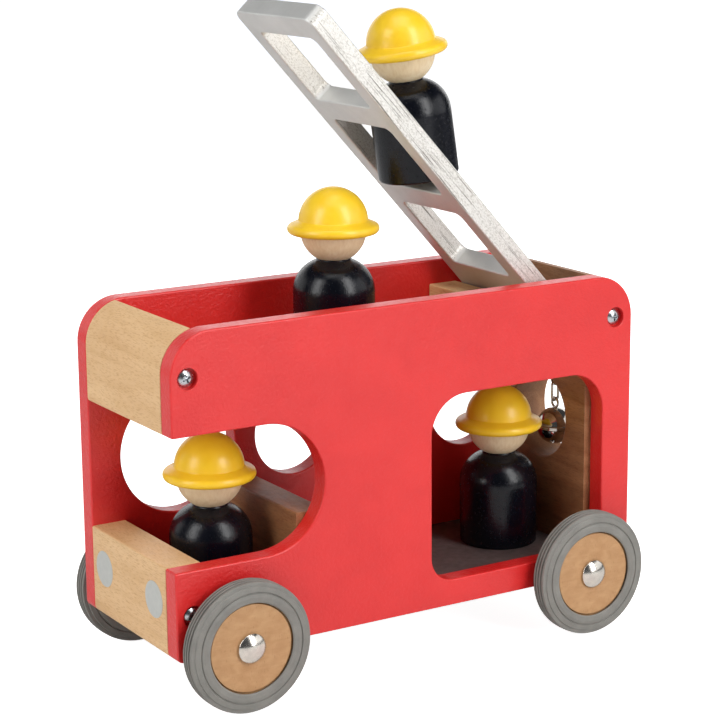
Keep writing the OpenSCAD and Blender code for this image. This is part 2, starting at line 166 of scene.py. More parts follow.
def rounded(corners, closed=True):
    """Outline through corners (u, v, radius), each turned by an arc of its radius."""
    points = []
    last = len(corners) - 1
    for index, (u, v, radius) in enumerate(corners):
        corner = Vector((u, v))
        if radius == 0 or (not closed and index in (0, last)):
            points.append(corner)
            continue
        back = (Vector(corners[index - 1][:2]) - corner).normalized()
        ahead = (Vector(corners[(index + 1) % len(corners)][:2]) - corner).normalized()
        half = back.angle(ahead) / 2
        centre = corner + (back + ahead).normalized() * radius / math.sin(half)
        start = corner + back * radius / math.tan(half) - centre
        end = corner + ahead * radius / math.tan(half) - centre
        first = math.degrees(math.atan2(start.y, start.x))
        turn = math.degrees(math.atan2(start.x * end.y - start.y * end.x, start.dot(end)))
        points += arc(centre, radius, first, first + turn)
    return [p for k, p in enumerate(points)
            if not closed or (p - points[k - 1]).length > SAME_PLACE]


def hole(centre, radius):
    """Clockwise circle, which leaves the material on its left."""
    return list(reversed(arc(centre, radius, 0, 360)[:-1]))


def rounded_hole(u0, u1, v0, v1, low_r, high_r):
    """Clockwise rectangle with round corners."""
    corners = [(u0, v0, low_r), (u1, v0, low_r), (u1, v1, high_r), (u0, v1, high_r)]
    return list(reversed(rounded(corners)))


def inset(loop, distance):
    """Closed outline moved sideways into the material on its left."""
    moved = []
    for index, point in enumerate(loop):
        before = (point - loop[index - 1]).normalized()
        after = (loop[(index + 1) % len(loop)] - point).normalized()
        left = Vector((-before.y - after.y, before.x + after.x))
        moved.append(point + left * distance / (1 + before.dot(after)))
    return moved


# ---------- solids ----------

def ring(shape, loop, height):
    """Vertices of an outline at a height."""
    return [shape.verts.new((point.x * MM, point.y * MM, height * MM)) for point in loop]


def bridge(shape, first, second, closed=True):
    """Band of faces between two rings; a ring of one vertex is a pole."""
    count = max(len(first), len(second))
    for index in range(count if closed else count - 1):
        ahead = (index + 1) % count
        if len(first) == 1:
            shape.faces.new((first[0], second[ahead], second[index]))
        elif len(second) == 1:
            shape.faces.new((first[index], first[ahead], second[0]))
        else:
            shape.faces.new((first[index], first[ahead], second[ahead], second[index]))


def eased(ease):
    """(inset, depth) pairs round an eased edge, from the face down to the wall."""
    quarter = math.pi / 2
    turns = [quarter * k / EASE_STEPS for k in range(EASE_STEPS + 1)]
    return [(ease * (1 - math.sin(a)), ease * (1 - math.cos(a))) for a in turns]


def plate(outline, low, high, ease, holes=(), pockets=()):
    """Board of an outline between two heights, with eased rims round it and its holes.

    A pocket is a blind round hole: (centre, radius, depth, side), where side 1 opens it in the
    high face and -1 in the low face.
    """
    pocket_ease = 0.3
    shape = bmesh.new()
    rims = {-1: [], 1: []}
    for loop in [outline, *holes]:
        rings = [ring(shape, inset(loop, side_in), low + depth) for side_in, depth in eased(ease)]
        rings += [ring(shape, inset(loop, side_in), high - depth)
                  for side_in, depth in reversed(eased(ease))]
        for first, second in zip(rings, rings[1:]):
            bridge(shape, first, second)
        rims[-1].append(rings[0])
        rims[1].append(rings[-1])
    for centre, radius, depth, side in pockets:
        face = high if side > 0 else low
        circle = hole(centre, radius)
        rings = [ring(shape, inset(circle, side_in), face - side * down)
                 for side_in, down in eased(pocket_ease)]
        rings.append(ring(shape, circle, face - side * depth))
        for first, second in zip(rings, rings[1:]):
            bridge(shape, first, second)
        shape.faces.new(rings[-1])
        rims[side].append(rings[0])
    for side, loops in rims.items():
        edges = [shape.edges.get((loop[k - 1], loop[k])) for loop in loops for k in range(len(loop))]
        bmesh.ops.triangle_fill(shape, edges=edges, use_beauty=True, normal=(0, 0, side))
    bmesh.ops.recalc_face_normals(shape, faces=shape.faces)
    return shape


def lathe(profile, segments=96, closed=False):
    """Turned solid about its own Z axis; profile points are (radius, height)."""
    shape = bmesh.new()
    rings = []
    for radius, height in profile:
        if radius < 1e-6:
            rings.append([shape.verts.new((0, 0, height * MM))])
            continue
        circle = [Vector((radius * math.cos(a), radius * math.sin(a)))
                  for a in (math.tau * k / segments for k in range(segments))]
        rings.append(ring(shape, circle, height))
    for first, second in zip(rings, rings[1:]):
        bridge(shape, first, second)
    if closed:
        bridge(shape, rings[-1], rings[0])
    bmesh.ops.recalc_face_normals(shape, faces=shape.faces)
    return shape


def wire(path, radius, normal, sides=14):
    """Closed wire round a flat path; normal is the direction across the path's plane."""
    shape = bmesh.new()
    rings = []
    for index, point in enumerate(path):
        along = (path[(index + 1) % len(path)] - path[index - 1]).normalized()
        across = along.cross(normal)
        turns = [math.tau * k / sides for k in range(sides)]
        spots = [point + radius * (normal * math.cos(a) + across * math.sin(a)) for a in turns]
        rings.append([shape.verts.new(spot * MM) for spot in spots])
    for index in range(len(rings)):
        bridge(shape, rings[index - 1], rings[index])
    bmesh.ops.recalc_face_normals(shape, faces=shape.faces)
    return shape


def temporary(shape):
    """Short-lived object of a bmesh, for the boolean."""
    mesh = bpy.data.meshes.new("temporary")
    shape.to_mesh(mesh)
    shape.free()
    item = bpy.data.objects.new("temporary", mesh)
    bpy.context.scene.collection.objects.link(item)
    return item


def carve(shape, cutter):
    """Closed shape left when another is cut from it."""
    body, tool = temporary(shape), temporary(cutter)
    cut = body.modifiers.new("cut", "BOOLEAN")
    cut.object = tool
    cut.operation = "DIFFERENCE"
    cut.solver = "EXACT"
    result = bmesh.new()
    result.from_object(body, bpy.context.evaluated_depsgraph_get())
    for item in (body, tool):
        mesh = item.data
        bpy.data.objects.remove(item)
        bpy.data.meshes.remove(mesh)
    return result


def add_copy(shape, other, placement):
    """Adds a placed copy of another shape."""
    mesh = bpy.data.meshes.new("copy")
    other.to_mesh(mesh)
    mesh.transform(placement)
    shape.from_mesh(mesh)
    bpy.data.meshes.remove(mesh)


# ---------- placing ----------

def axes(right, up, out, origin=(0, 0, 0)):
    """Placement whose own X, Y and Z point along three frame directions, from an origin in mm."""
    placement = Matrix((right, up, out)).transposed().to_4x4()
    placement.translation = Vector(origin) * MM
    return placement


X, Y, Z = Vector((1, 0, 0)), Vector((0, 1, 0)), Vector((0, 0, 1))
ACROSS = axes(Y, Z, X)           # drawn in (y, z), with its thickness along the frame's X


def piece(name, shape, placement, body, finish, slot, *nodes):
    """Makes a finished object that rides on a body and stands for CAD nodes."""
    crease = math.radians(38)        # edges that turn more than this stay sharp
    for face in shape.faces:
        face.smooth = True
    for edge in shape.edges:
        if len(edge.link_faces) == 2:
            edge.smooth = edge.calc_face_angle(0) < crease
    mesh = bpy.data.meshes.new(name)
    shape.to_mesh(mesh)
    shape.free()
    mesh.materials.append(finish)
    item = bpy.data.objects.new(name, mesh)
    bpy.context.scene.collection.objects.link(item)
    item.matrix_world = placement
    shading = item.modifiers.new("even_shading", "WEIGHTED_NORMAL")
    shading.keep_sharp = True
    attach(item, body)
    if nodes:
        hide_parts(*nodes)


# ---------- materials ----------

def rgb(red, green, blue):
    """Linear colour of an 8-bit sRGB one."""
    parts = [channel / 255 for channel in (red, green, blue)]
    return tuple(p / 12.92 if p <= 0.04045 else ((p + 0.055) / 1.055) ** 2.4 for p in parts) + (1.0,)


class Finish:
    """One procedural material; its patterns follow the piece's own axes, in millimetres."""

    def __init__(self, name, **constants):
        self.material = bpy.data.materials.new(name)
        self.material.use_nodes = True
        self.tree = self.material.node_tree
        self.shader = self.tree.nodes["Principled BSDF"]
        for socket, value in constants.items():
            self.shader.inputs[socket.replace("_", " ")].default_value = value
        self.coordinates = self.node("ShaderNodeTexCoord")
        self.place = self.vector("SCALE", self.coordinates.outputs["Object"], Scale=1 / MM)
        self.normal = None

    def node(self, kind, inputs=None, **settings):
        """Adds a node, sets its options and fills its inputs by name or number."""
        node = self.tree.nodes.new(kind)
        for option, value in settings.items():
            setattr(node, option, value)
        for socket, value in (inputs or {}).items():
            self.fill(node.inputs[socket], value)
        return node

    def fill(self, socket, value):
        """Links an output to a socket, or sets the socket's own value."""
        if isinstance(value, bpy.types.NodeSocket):
            self.tree.links.new(value, socket)
        else:
            socket.default_value = value

    def vector(self, operation, first, second=None, **named):
        """Result of a vector operation."""
        node = self.node("ShaderNodeVectorMath", {0: first, **named}, operation=operation)
        if second is not None:
            self.fill(node.inputs[1], second)
        return node.outputs[0]

    def number(self, operation, first, second=0.0):
        """Result of an operation on one or two numbers."""
        return self.node("ShaderNodeMath", {0: first, 1: second}, operation=operation).outputs[0]

    def noise(self, size, detail=2.0, stretch=(1, 1, 1), distortion=0.0):
        """Cloudy pattern with features of about size mm, longer where stretch is over 1."""
        squeeze = [1 / (size * longer) for longer in stretch]
        place = self.vector("MULTIPLY", self.place, squeeze)
        inputs = {"Vector": place, "Scale": 1.0, "Detail": detail, "Distortion": distortion}
        return self.node("ShaderNodeTexNoise", inputs).outputs["Fac"]

    def between(self, value, low, high, start=0.0, end=1.0):
        """Value carried from low..high to start..end, and held there."""
        inputs = {"Value": value, "From Min": low, "From Max": high, "To Min": start, "To Max": end}
        return self.node("ShaderNodeMapRange", inputs, clamp=True).outputs["Result"]

    def ramp(self, value, *stops):
        """Colour that runs through (position, colour) stops."""
        node = self.node("ShaderNodeValToRGB", {"Fac": value})
        elements = node.color_ramp.elements
        elements[0].position, elements[0].color = stops[0]
        elements[1].position, elements[1].color = stops[-1]
        for position, colour in stops[1:-1]:
            elements.new(position).color = colour
        return node.outputs["Color"]

    def mix(self, factor, first, second):
        """Second colour laid over the first; 6, 7 and output 2 are the node's colour sockets."""
        inputs = {0: factor, 6: first, 7: second}
        return self.node("ShaderNodeMix", inputs, data_type="RGBA").outputs[2]

    def bump(self, height, depth):
        """Adds relief of a depth in millimetres."""
        inputs = {"Height": height, "Distance": depth * MM}
        if self.normal is not None:
            inputs["Normal"] = self.normal
        self.normal = self.node("ShaderNodeBump", inputs).outputs["Normal"]

    def done(self, colour, roughness):
        """Links the colour, roughness and relief, and gives the material."""
        self.fill(self.shader.inputs["Base Color"], colour)
        self.fill(self.shader.inputs["Roughness"], roughness)
        if self.normal is not None:
            self.fill(self.shader.inputs["Normal"], self.normal)
        return self.material


def long_along(grain, times):
    """Stretch that makes a pattern longer along one own axis."""
    return tuple(times if axis == grain else 1 for axis in range(3))


def painted_wood(name, deep, bright, roughness, relief):
    """Sprayed paint with a fine orange peel, on sanded wood."""
    finish = Finish(name, Coat_Weight=0.22, Coat_Roughness=0.22)
    cloud = finish.noise(28, 3)
    mottle = finish.noise(1.1, 2)
    shade = finish.ramp(cloud, (0.3, deep), (0.7, bright))
    fleck = finish.between(mottle, 0.58, 0.75)
    colour = finish.mix(finish.number("MULTIPLY", fleck, 0.12), shade, rgb(232, 66, 66))
    finish.bump(finish.noise(1.3, 1.5), relief)
    finish.bump(finish.noise(0.5, 1), relief * 0.3)
    rough = finish.between(finish.noise(2.2, 3), 0.3, 0.7, roughness - 0.05, roughness + 0.07)
    return finish.done(colour, rough)


def wood(name, grain, pale, middle_tone, dark, fleck, flecks=1.0, outside=None):
    """Sanded beech: soft streaks, fine grain, and short thin flecks along the grain.

    Three outside tones, where given, are lit beech on the faces that look along the piece's own X
    axis; every other face keeps the main tones, which are then a darker palette of painted shade.
    """
    finish = Finish(name)
    figure = finish.noise(6, 4, long_along(grain, 7), 0.6)
    lines = finish.noise(0.4, 3, long_along(grain, 26))
    patch = finish.noise(34, 2)
    tone = finish.ramp(figure, (0.28, dark), (0.5, middle_tone), (0.74, pale))
    # painted shade: faces that do not look along own X keep the darker tones, and the outside tones
    # are the lit ones
    if outside:
        clear = finish.ramp(figure, (0.28, outside[2]), (0.5, outside[1]), (0.74, outside[0]))
        facing = finish.node("ShaderNodeSeparateXYZ", {0: finish.coordinates.outputs["Normal"]})
        tone = finish.mix(finish.between(facing.outputs["X"], 0.3, 0.6), tone, clear)
    tone = finish.mix(finish.between(lines, 0.45, 0.75, 0, 0.3), tone, dark)
    tone = finish.mix(finish.between(patch, 0.4, 0.75, 0, 0.3), tone, pale)
    dashes = finish.noise(0.38, 1.0, long_along(grain, 7))
    mask = finish.between(dashes, 0.53, 0.68)
    tone = finish.mix(finish.number("MULTIPLY", mask, 0.5 * flecks), tone, fleck)
    finish.bump(lines, 0.03)
    finish.bump(finish.number("SUBTRACT", 1.0, mask), 0.012)
    rough = finish.between(finish.noise(3, 3), 0.3, 0.7, 0.44, 0.58)
    return finish.done(tone, rough)


def turned_paint(name, colour, shade, roughness, relief, **gloss):
    """Glossy paint on a turned wooden piece: fine pores along the axis and lathe rings."""
    finish = Finish(name, **gloss)
    tone = finish.ramp(finish.noise(7, 3, long_along(2, 2.5)), (0.3, shade), (0.7, colour))
    finish.bump(finish.noise(0.55, 3, long_along(2, 3)), relief)
    finish.bump(finish.noise(0.9, 2, (30, 30, 1)), relief * 0.4)
    rough = finish.between(finish.noise(1.4, 3), 0.3, 0.7, roughness - 0.05, roughness + 0.08)
    return finish.done(tone, rough)


def bare_turned_wood(name):
    """Pale close-grained wood of the heads, its grain along the axis."""
    finish = Finish(name)
    streaks = finish.noise(1.3, 3, long_along(2, 14), 0.3)
    tone = finish.ramp(streaks, (0.3, rgb(224, 199, 158)), (0.55, rgb(233, 212, 175)),
                       (0.8, rgb(238, 220, 187)))
    cloud = finish.between(finish.noise(9, 2), 0.4, 0.75, 0, 0.3)
    tone = finish.mix(cloud, tone, rgb(220, 190, 146))
    pores = finish.between(finish.noise(0.35, 1, long_along(2, 7)), 0.66, 0.78)
    tone = finish.mix(finish.number("MULTIPLY", pores, 0.2), tone, rgb(180, 140, 96))
    finish.bump(streaks, 0.02)
    rough = finish.between(finish.noise(2, 2), 0.3, 0.7, 0.42, 0.56)
    return finish.done(tone, rough)


def silver_paint():
    """Metallic paint: smooth on the faces, speckled with open pores on the ladder's side edges."""
    finish = Finish("silver_paint", Metallic=0.6)
    facing = finish.vector("ABSOLUTE", finish.coordinates.outputs["Normal"])
    sideways = finish.node("ShaderNodeSeparateXYZ", {0: facing}).outputs["X"]
    edge = finish.between(sideways, 0.55, 0.85)
    speckle = finish.noise(0.4, 3, long_along(1, 2.4))
    pore_lines = finish.between(finish.noise(0.42, 1.5, long_along(1, 60)), 0.63, 0.69)
    face = finish.ramp(finish.noise(16, 3), (0.3, rgb(208, 208, 205)), (0.7, rgb(218, 218, 215)))
    grain = finish.ramp(speckle, (0.34, rgb(188, 184, 177)), (0.46, rgb(216, 213, 207)),
                        (0.62, rgb(226, 224, 219)))
    grain = finish.mix(finish.number("MULTIPLY", pore_lines, 0.8), grain, rgb(104, 97, 88))
    tone = finish.mix(edge, face, grain)
    relief = finish.number("SUBTRACT", speckle, pore_lines)
    finish.bump(finish.number("MULTIPLY", relief, edge), 0.12)
    finish.bump(finish.noise(0.6, 2), 0.02)
    rough = finish.between(finish.noise(1.2, 3), 0.3, 0.7, 0.42, 0.55)
    return finish.done(tone, rough)


def rubber():
    """Matt grey rubber with a faint mould texture."""
    finish = Finish("grey_rubber", Specular_IOR_Level=0.4)
    tone = finish.ramp(finish.noise(9, 4), (0.3, rgb(119, 117, 112)), (0.7, rgb(134, 132, 126)))
    dust = finish.between(finish.noise(0.7, 3), 0.56, 0.72)
    tone = finish.mix(finish.number("MULTIPLY", dust, 0.15), tone, rgb(158, 156, 149))
    finish.bump(finish.noise(0.4, 2), 0.02)
    rough = finish.between(finish.noise(4, 3), 0.3, 0.7, 0.5, 0.64)
    return finish.done(tone, rough)


def wheel_wood():
    """Sanded beech plywood of the wheel discs: even, with a mottled figure."""
    finish = Finish("wheel_wood")
    mottle = finish.noise(3.2, 3, long_along(0, 1.6), 0.4)
    tone = finish.ramp(mottle, (0.3, rgb(178, 133, 88)), (0.55, rgb(187, 143, 98)),
                       (0.8, rgb(195, 153, 108)))
    streaks = finish.between(finish.noise(0.7, 2, long_along(0, 14)), 0.5, 0.8, 0, 0.25)
    tone = finish.mix(streaks, tone, rgb(168, 122, 80))
    pores = finish.between(finish.noise(0.4, 1, long_along(1, 5)), 0.66, 0.74)
    tone = finish.mix(finish.number("MULTIPLY", pores, 0.4), tone, rgb(142, 98, 60))
    finish.bump(mottle, 0.03)
    rough = finish.between(finish.noise(2.5, 2), 0.3, 0.7, 0.44, 0.58)
    return finish.done(tone, rough)


def metal(name, tone, worn, roughness, scratch):
    """Plated metal with faint clouding and fine scratches."""
    finish = Finish(name, Metallic=1.0)
    colour = finish.ramp(finish.noise(3.5, 4), (0.3, worn), (0.65, tone))
    finish.bump(finish.noise(0.3, 3, (1, 6, 1)), scratch)
    rough = finish.between(finish.noise(1.6, 3), 0.3, 0.75, roughness - 0.03, roughness + 0.07)
    return finish.done(colour, rough)


def plastic(name, tone, shade):
    """Moulded plastic with a slight bloom."""
    finish = Finish(name)
    colour = finish.ramp(finish.noise(3, 3), (0.3, shade), (0.7, tone))
    finish.bump(finish.noise(0.5, 2), 0.015)
    rough = finish.between(finish.noise(2, 2), 0.3, 0.7, 0.38, 0.5)
    return finish.done(colour, rough)


# Palettes of a wood: pale, middle and dark tone, then the flecks.
BEECH = (rgb(230, 192, 143), rgb(221, 181, 131), rgb(211, 168, 117), rgb(186, 132, 80))
# painted shade: the same beech darkened to look as it does in the shade inside the body
PAINTED_SHADE_BEECH = (rgb(178, 130, 90), rgb(158, 109, 71), rgb(134, 87, 54), rgb(92, 52, 29))
FLOOR_TONES = (rgb(104, 92, 90), rgb(92, 81, 80), rgb(78, 68, 67), rgb(58, 48, 46))
DOWEL_TONES = (rgb(228, 202, 162), rgb(214, 184, 140), rgb(196, 162, 118), rgb(160, 118, 78))

RED = painted_wood("red_paint", rgb(213, 31, 31), rgb(223, 38, 37), 0.36, 0.24)
BOARD = wood("beech", 2, *BEECH)
# painted shade: darker beech everywhere but on the rear-facing faces, which get the lit beech tones
REAR_WOOD_PAINTED_SHADE = wood("brown_wood", 2, *PAINTED_SHADE_BEECH, flecks=0.7, outside=BEECH[:3])
FLOOR_WOOD = wood("floor_wood", 1, *FLOOR_TONES, flecks=0.6)
DOWEL_WOOD = wood("dowel_wood", 0, *DOWEL_TONES)
UPRIGHT_DOWEL_WOOD = wood("upright_dowel_wood", 2, *DOWEL_TONES)
SILVER = silver_paint()
GREY_PAINT = plastic("grey_dot_paint", rgb(190, 191, 186), rgb(182, 184, 180))
RUBBER = rubber()
DISC_WOOD = wheel_wood()
CAP_NICKEL = metal("nickel_cap", rgb(226, 220, 210), rgb(205, 200, 192), 0.2, 0.004)
BELL_NICKEL = metal("bell_nickel", rgb(214, 208, 200), rgb(188, 180, 170), 0.09, 0.003)
ZINC = metal("zinc_steel", rgb(206, 209, 212), rgb(170, 174, 178), 0.24, 0.01)
SPACER_PLASTIC = plastic("grey_plastic", rgb(182, 182, 178), rgb(168, 168, 165))
COAT_PAINT = turned_paint("blue_black_paint", rgb(9, 11, 21), rgb(5, 7, 14), 0.21, 0.07,
                          Specular_IOR_Level=0.34)
HELMET_PAINT = turned_paint("yellow_paint", rgb(249, 206, 44), rgb(244, 198, 34), 0.33, 0.02,
                            Coat_Weight=0.15, Coat_Roughness=0.15)
HEAD_WOOD = bare_turned_wood("head_wood")


# ---------- body ----------

def panel_corners():
    """Corners of a side panel in (y, z), with their radii, from the lower front one round."""
    return [(FRONT, BOTTOM, LOW_CORNER), (REAR, BOTTOM, LOW_CORNER), (REAR, TOP, TOP_CORNER),
            (FRONT, TOP, TOP_CORNER)]


def panel_pockets(side):
    """Blind holes of a panel: counterbores outside, dowels and the ladder's pin inside."""
    pin = joint_place("ladder_tilt")
    outside = [(spot, SINK_R, SINK_DEPTH, side) for spot in SCREW_SPOTS]
    dowels = DECK_DOWELS + FLOOR_DOWELS + BACK_DOWELS
    inside = [(spot, DOWEL_R, DOWEL_IN_PANEL, -side) for spot in dowels]
    return outside + inside + [((pin.y, pin.z), PIN_R, DOWEL_IN_PANEL, -side)]


def side_panels():
    """The two red panels, drawn in (y, z)."""
    panel_ease = 0.8
    notch_r = 0.9
    axle_holes = [hole(spot, AXLE_R) for spot in AXLE_SPOTS]
    notch = [(FRONT, WINDOW_Z + CAB_R, notch_r), (CAB_Y + CAB_R, WINDOW_Z + CAB_R, CAB_R),
             (CAB_Y + CAB_R, WINDOW_Z - CAB_R, CAB_R), (FRONT, WINDOW_Z - CAB_R, notch_r)]
    window = rounded_hole(*REAR_WINDOW, REAR_WINDOW_LOW_R, REAR_WINDOW_TOP_R)
    left = plate(rounded(panel_corners() + notch), INNER, OUTER, panel_ease, [window, *axle_holes],
                 panel_pockets(1))
    piece("left_panel_painted", left, ACROSS, "root", RED, "red_paint", "left_side_panel")
    rounds = [hole((CAB_Y, WINDOW_Z), CAB_R)] + [hole((y, WINDOW_Z), ROUND_R) for y in ROUND_Y]
    right = plate(rounded(panel_corners()), -OUTER, -INNER, panel_ease, [*rounds, *axle_holes],
                  panel_pockets(-1))
    piece("right_panel_painted", right, ACROSS, "root", RED, "red_paint", "right_side_panel")


def board_ends(spots, radius, depth):
    """The same blind holes in both ends of a cross board."""
    return [(spot, radius, depth, side) for spot in spots for side in (-1, 1)]


def cross_board(name, node, corners, finish, slot, ends=()):
    """Board between the panels, drawn in (y, z), with its long edges rounded by its outline."""
    shape = plate(rounded(corners), -INNER, INNER, BOARD_EASE, pockets=ends)
    piece(name, shape, ACROSS, "root", finish, slot, node)


def slab(node, low_r, high_r):
    """Section of a board in (y, z): a rectangle with the radii of its lower and upper corners."""
    low, high = span(node)
    return [(low.y, low.z, low_r), (high.y, low.z, low_r), (high.y, high.z, high_r),
            (low.y, high.z, high_r)]


def front_blocks():
    """The two beech blocks at the front, with grey paint dots on the lower one."""
    edge_r = 0.7
    low, high = span("front_top_block")
    centre = (FRONT + TOP_CORNER, TOP - TOP_CORNER)
    cut = math.degrees(math.acos((high.y - centre[0]) / TOP_CORNER))
    curve = [(p.x, p.y, 0) for p in arc(centre, TOP_CORNER, cut, 180)]
    corners = [(FRONT, low.z, 2.0), (high.y, low.z, edge_r), *curve]
    upper = [s for s in SCREW_SPOTS if s[0] < 0 and s[1] > WINDOW_Z]
    cross_board("front_top_block_sanded", "front_top_block", corners, BOARD, "beech",
                board_ends(upper, SHANK_R, SHANK_L))
    low, high = span("front_lower_block")
    corners = [(FRONT, low.z, LOW_CORNER), (high.y, low.z, edge_r), (high.y, high.z, edge_r),
               (FRONT, high.z, edge_r)]
    lower = [s for s in SCREW_SPOTS if s[0] < 0 and s[1] < WINDOW_Z]
    cross_board("front_lower_block_sanded", "front_lower_block", corners, BOARD, "beech",
                board_ends(lower, SHANK_R, SHANK_L))
    dot_r = 7.85
    dot_x = 23.4
    dot_z = 45.2
    film = 0.14
    sunk = 0.1
    rim = rounded([(dot_r, 0, 0), (dot_r - 0.1, film, 0.1), (0, film, 0)], False)
    for side, word in ((-1, "right"), (1, "left")):
        dot = lathe([(0, -sunk), (dot_r, -sunk), *rim])
        placement = axes(X, Z, -Y, (side * dot_x, FRONT, dot_z))
        piece(word + "_headlight_dot", dot, placement, "root", GREY_PAINT, "silver_paint")


def inner_boards():
    """Deck, board behind the driver, the ladder's stop block and the floor."""
    hidden_r = 0.2
    edge_r = 0.8
    cross_board("upper_deck_sanded", "upper_deck", slab("upper_deck", hidden_r, hidden_r), BOARD,
                "beech", board_ends(DECK_DOWELS, DOWEL_R, DOWEL_IN_BOARD))
    # the cab back board wears painted shade: darker beech on all but its rear face
    cross_board("cab_back_board_sanded", "cab_back_board", slab("cab_back_board", hidden_r, edge_r),
                REAR_WOOD_PAINTED_SHADE, "brown_wood", board_ends(BACK_DOWELS, DOWEL_R, DOWEL_IN_BOARD))
    cross_board("ladder_stop_block_sanded", "ladder_stop_block",
                slab("ladder_stop_block", hidden_r, edge_r), BOARD, "beech")
    floor_shape()


def floor_shape():
    """Floor board with a round-bottomed groove across its underside for each axle."""
    low, high = span("floor_board")
    groove_r = AXLE_R + 0.4
    edge_r = 0.2
    floor_ease = 0.1
    corners = [(low.y, low.z, edge_r)]
    for y, z in AXLE_SPOTS:
        corners += [(y - groove_r, low.z, 0)]
        corners += [(p.x, p.y, 0) for p in arc((y, z), groove_r, 180, 0)]
        corners += [(y + groove_r, low.z, 0)]
    corners += [(high.y, low.z, edge_r), (high.y, high.z, edge_r), (low.y, high.z, edge_r)]
    ends = board_ends(FLOOR_DOWELS, DOWEL_R, DOWEL_IN_BOARD)
    shape = plate(rounded(corners), -INNER, INNER, floor_ease, pockets=ends)
    piece("floor_board_sanded", shape, ACROSS, "root", FLOOR_WOOD, "floor_wood", "floor_board")


def rear_board():
    """Rear board with the bell's round hole, whose rims are eased by the flared cutter."""
    low, high = span("rear_board")
    corners = [(low.y, low.z, 0.4), (high.y, low.z, LOW_CORNER), (high.y, high.z, TOP_CORNER),
               (low.y, high.z, 0)]
    screw_holes = board_ends([s for s in SCREW_SPOTS if s[0] > 0], SHANK_R, SHANK_L)
    shape = plate(rounded(corners), -INNER, INNER, BOARD_EASE, pockets=screw_holes)
    ease = 0.8
    thickness = high.y - low.y
    flare = [(ROUND_R + side_in, depth) for side_in, depth in eased(ease)]
    far_flare = [(r, thickness - d) for r, d in reversed(flare)]
    profile = [(0, -1), (ROUND_R + ease, -1), *flare, *far_flare,
               (ROUND_R + ease, thickness + 1), (0, thickness + 1)]
    cutter = lathe(profile, 120)
    cutter.transform(Matrix.Translation((low.y * MM, WINDOW_Z * MM, 0)) @ axes(Y, Z, X))
    shape = carve(shape, cutter)
    # painted shade: darker beech on the inner faces and the hole's rim, lit beech on the rear face
    piece("rear_board_sanded", shape, ACROSS, "root", REAR_WOOD_PAINTED_SHADE, "brown_wood", "rear_board")


def screws():
    """Eight pan-head screws with cross recesses, in the panels' counterbores."""
    dome = rounded([(HEAD_R, 0, 0), (HEAD_R, 0.9, 0.5), (1.6, HEAD_H, 2.2), (0, HEAD_H, 0)], False)
    tip = [(0, -SHANK_L), (SHANK_R * 0.4, -SHANK_L + 0.6), (SHANK_R, -SHANK_L + 4)]
    head = lathe([*tip, (SHANK_R, 0), *[tuple(p) for p in dome]], 48)
    arm = 1.95                       # reach and half width of the recess's arms
    half = 0.42
    cross = []
    for quarter in range(4):
        turn = Matrix.Rotation(math.radians(90 * quarter), 2)
        cross += [turn @ Vector(p) for p in ((half, half), (half, arm), (-half, arm))]
    cutter = bmesh.new()
    levels = ((1.1, HEAD_H + 0.4), (0.62, HEAD_H - 1.3))         # growth and height of each end
    rings = [ring(cutter, [p * grow for p in cross], z) for grow, z in levels]
    bridge(cutter, *rings)
    cutter.faces.new(rings[0])
    cutter.faces.new(rings[1])
    bmesh.ops.recalc_face_normals(cutter, faces=cutter.faces)
    head = carve(head, cutter)
    every = bmesh.new()
    for index, (y, z) in enumerate(SCREW_SPOTS):
        for side in (-1, 1):
            turn = Matrix.Rotation(math.radians(20 + 33 * index), 4, "Z")
            place = axes(side * Y, Z, side * X, (side * (OUTER - SINK_DEPTH), y, z))
            add_copy(every, head, place @ turn)
    head.free()
    piece("cross_head_screws", every, Matrix(), "root", ZINC, "zinc_steel", "panel_screws")


# ---------- wheels ----------

def wheel_axes(node, turn=0.0):
    """Placement at a wheel's inner face, with its own Z outwards from the body."""
    low, high = span(node)
    side = 1 if low.x > 0 else -1
    inner = low.x if side > 0 else high.x
    centre = (low + high) / 2
    return axes(side * Y, Z, side * X, (inner, centre.y, centre.z)) @ Matrix.Rotation(turn, 4, "Z")


def tyre_profile():
    """Closed section of a tyre in (radius, width), drawn for one side and mirrored."""
    low, high = span("front_left_tyre")
    radius = (high.z - low.z) / 2
    width = high.x - low.x
    lip_r = 19.2
    disc_r = 20.0
    recess = 1.3
    middle_w = width / 2
    groove = 1.3
    half = [
        # tread: middle groove, rib, side groove and shoulder
        (radius - groove, middle_w, 0), (radius - groove, middle_w + 0.3, 0.08),
        (radius - 0.05, middle_w + 0.55, 0.25), (radius - 0.05, middle_w + 1.3, 0.25),
        (radius - groove, middle_w + 1.55, 0.08), (radius - groove, middle_w + 2.2, 0.08),
        (radius - 0.1, middle_w + 2.45, 0.25), (radius - 0.35, width - 1.3, 0.4),
        # side wall: two raised rings with a groove outside each
        (radius - 1.4, width - 1.15, 0.3), (radius - 1.9, width - 1.15, 0.15),
        (radius - 2.1, width - 0.6, 0.25), (radius - 4.2, width - 0.35, 0.3),
        (radius - 4.4, width - 0.8, 0.12), (radius - 4.8, width - 0.8, 0.12),
        (radius - 5.05, width - 0.3, 0.25), (radius - 6.3, width - 0.02, 2.0),
        # lip over the edge of the wooden disc
        (lip_r + 0.6, width - 0.15, 0.6), (lip_r, width - 0.6, 0.2),
        (lip_r + 0.1, width - 1.0, 0.05), (disc_r - 0.1, width - 1.1, 0.05),
        (disc_r - 0.1, width - recess, 0), (disc_r, width - recess, 0),
    ]
    upper = rounded(half, False)
    lower = [Vector((p.x, width - p.y)) for p in reversed(upper[1:])]
    return [tuple(p) for p in upper + lower]


